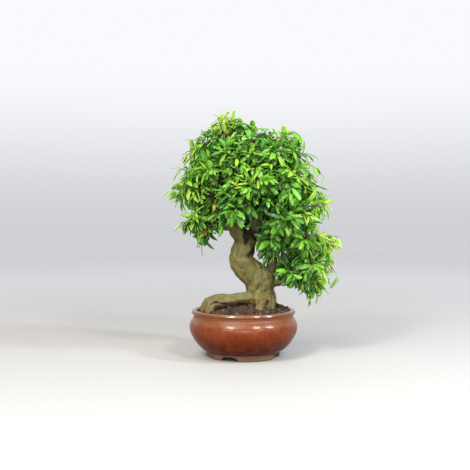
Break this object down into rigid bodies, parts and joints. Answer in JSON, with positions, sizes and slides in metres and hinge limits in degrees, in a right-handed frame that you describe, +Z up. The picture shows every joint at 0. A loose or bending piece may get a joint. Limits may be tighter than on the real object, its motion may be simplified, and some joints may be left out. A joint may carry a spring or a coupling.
{
  "type": "pomegranate bonsai",
  "caption": "Small twisted-trunk pomegranate tree on raised roots, with leafy shoots, growing in a round glazed pot with a mesh over its drain hole.",
  "frame": {"origin": "on the surface that the pot stands on, at the middle of the whole plant's footprint", "axes": "+Z up, -Y towards the viewer, +X to the viewer's right; the raised root points to -X"},
  "size_m": [0.3174, 0.2074, 0.4406],
  "materials": {
    "glaze": "glossy reddish-brown glaze, bare tan clay on the foot",
    "screen": "matte black mesh",
    "soil": "loose dark brown granules",
    "bark": "smooth olive-tan bark with creases",
    "leaf": "glossy green leaves"
  },
  "bodies": {
    "root": {"pot": "glaze", "drain_screen": "screen", "soil": "soil", "trunk": "bark", "shoot_01": "leaf", "shoot_02": "leaf", "shoot_03": "leaf", "shoot_04": "leaf", "shoot_05": "leaf", "shoot_06": "leaf", "shoot_07": "leaf", "shoot_08": "leaf", "shoot_09": "leaf", "shoot_10": "leaf", "shoot_11": "leaf", "shoot_12": "leaf", "shoot_13": "leaf", "shoot_14": "leaf", "shoot_15": "leaf", "shoot_16": "leaf", "shoot_17": "leaf", "shoot_18": "leaf", "shoot_19": "leaf", "shoot_20": "leaf", "shoot_21": "leaf", "shoot_22": "leaf", "shoot_23": "leaf", "shoot_24": "leaf", "shoot_25": "leaf", "shoot_26": "leaf", "shoot_27": "leaf", "shoot_28": "leaf", "shoot_29": "leaf", "shoot_30": "leaf", "shoot_31": "leaf", "shoot_32": "leaf", "shoot_33": "leaf", "shoot_34": "leaf", "shoot_35": "leaf", "shoot_36": "leaf", "shoot_37": "leaf", "shoot_38": "leaf", "shoot_39": "leaf", "shoot_40": "leaf", "shoot_41": "leaf", "shoot_42": "leaf", "shoot_43": "leaf", "shoot_44": "leaf", "shoot_45": "leaf", "shoot_46": "leaf", "shoot_47": "leaf", "shoot_48": "leaf", "shoot_49": "leaf", "shoot_50": "leaf", "shoot_51": "leaf", "shoot_52": "leaf"}
  },
  "joints": []
}
